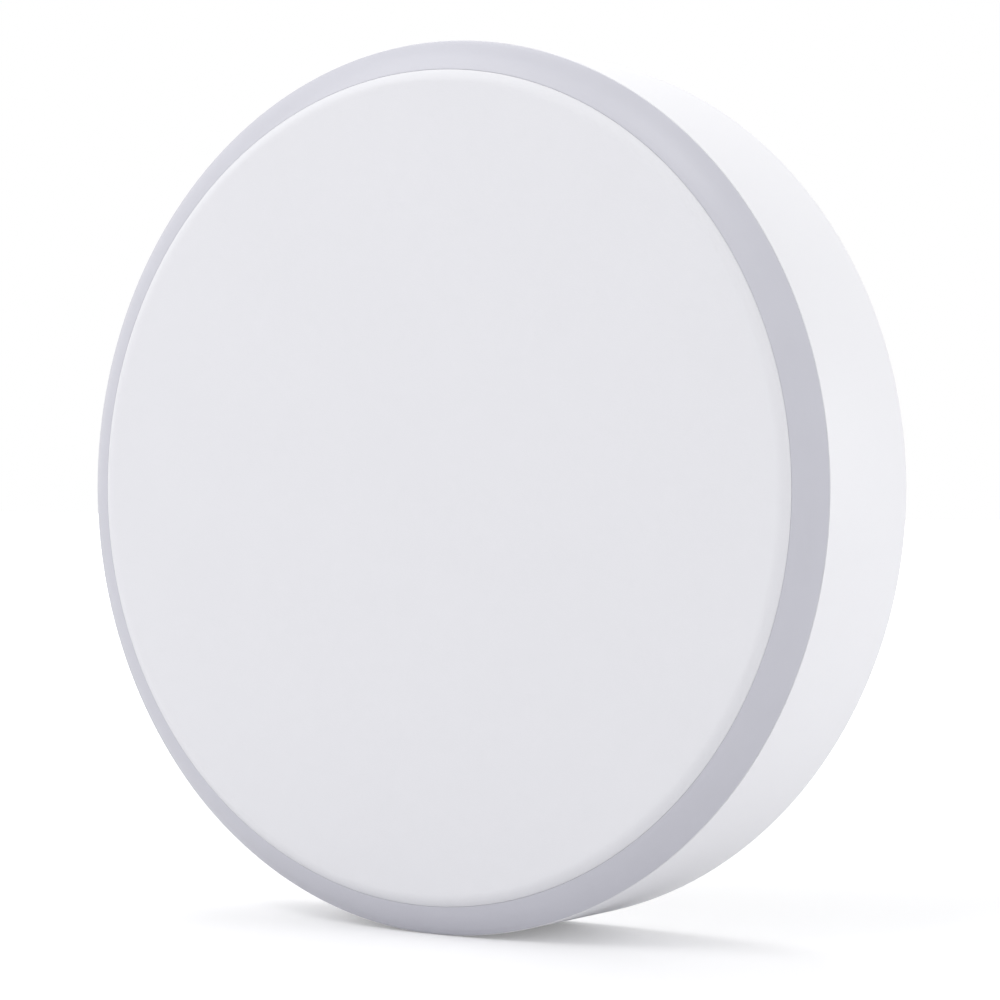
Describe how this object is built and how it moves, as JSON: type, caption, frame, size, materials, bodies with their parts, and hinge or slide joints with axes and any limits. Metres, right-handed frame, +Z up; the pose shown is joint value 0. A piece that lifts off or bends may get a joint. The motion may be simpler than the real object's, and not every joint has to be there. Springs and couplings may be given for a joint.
{
  "type": "smart button",
  "caption": "Round wireless wall button: a white press cap inside a grey conical ring on a white housing that twists onto a stick-on back plate, with board, switch and coin cell",
  "frame": {"origin": "centre of the adhesive pad's outer face, where the button meets the wall", "axes": "+Y out of the back into the wall, -Y out of the front face, +Z up, +X to the right seen from the front"},
  "size_m": [0.05, 0.0108, 0.05],
  "materials": {
    "cap_white": "fine spark-eroded matte",
    "shell_white": "fine spark-eroded matte",
    "ring_grey": "satin",
    "cover_white": "matte",
    "foam_tape": "closed-cell foam",
    "seal_rubber": "matte",
    "silicone": "matte",
    "board_green": "solder mask",
    "steel": "bare",
    "nickel": "nickel plate",
    "black_plastic": "matte",
    "holder_plastic": "matte",
    "ceramic_tan": "fired",
    "module_blue": "solder mask"
  },
  "bodies": {
    "wall_plate": {"back_cover": "cover_white", "adhesive_pad": "foam_tape", "seal_ring": "seal_rubber"},
    "button_body": {"housing": "shell_white", "trim_ring": "ring_grey", "stop_ring": "silicone", "circuit_board": "board_green", "board_screws": "steel", "radio_board": "module_blue", "shield_can": "nickel", "chip_antenna": "ceramic_tan", "crystal": "nickel", "power_chip": "black_plastic", "capacitors": "ceramic_tan", "resistors": "black_plastic", "switch_base": "black_plastic", "switch_cover": "steel", "switch_dome": "steel", "pairing_base": "black_plastic", "pairing_cover": "steel", "cell_can": "steel", "cell_gasket": "holder_plastic", "cell_lid": "steel", "battery_holder": "holder_plastic", "positive_contact": "nickel", "negative_contact": "nickel"},
    "press_cap": {"press_cap": "cap_white"},
    "press_plunger": {"switch_plunger": "holder_plastic"},
    "pairing_plunger": {"pairing_plunger": "holder_plastic"}
  },
  "joints": [
    {"name": "bayonet_turn", "type": "hinge", "parent": "wall_plate", "child": "button_body", "pos_m": [0, 0, 0], "axis": [0, -1, 0], "range_deg": [0, 30]},
    {"name": "cap_press", "type": "slide", "parent": "button_body", "child": "press_cap", "axis": [0, 1, 0], "range_m": [0, 0.0003], "stiffness_N_per_m": 2000, "springref_m": -0.0005},
    {"name": "plunger_press", "type": "slide", "parent": "button_body", "child": "press_plunger", "axis": [0, 1, 0], "range_m": [0, 0.0003], "deforming": ["switch_dome"]},
    {"name": "pairing_press", "type": "slide", "parent": "button_body", "child": "pairing_plunger", "axis": [0, -1, 0], "range_m": [0, 0.00025], "stiffness_N_per_m": 1000, "springref_m": -0.0005}
  ],
  "couplings": [
    {"joint": "plunger_press", "follows": "cap_press", "ratio": 1}
  ]
}
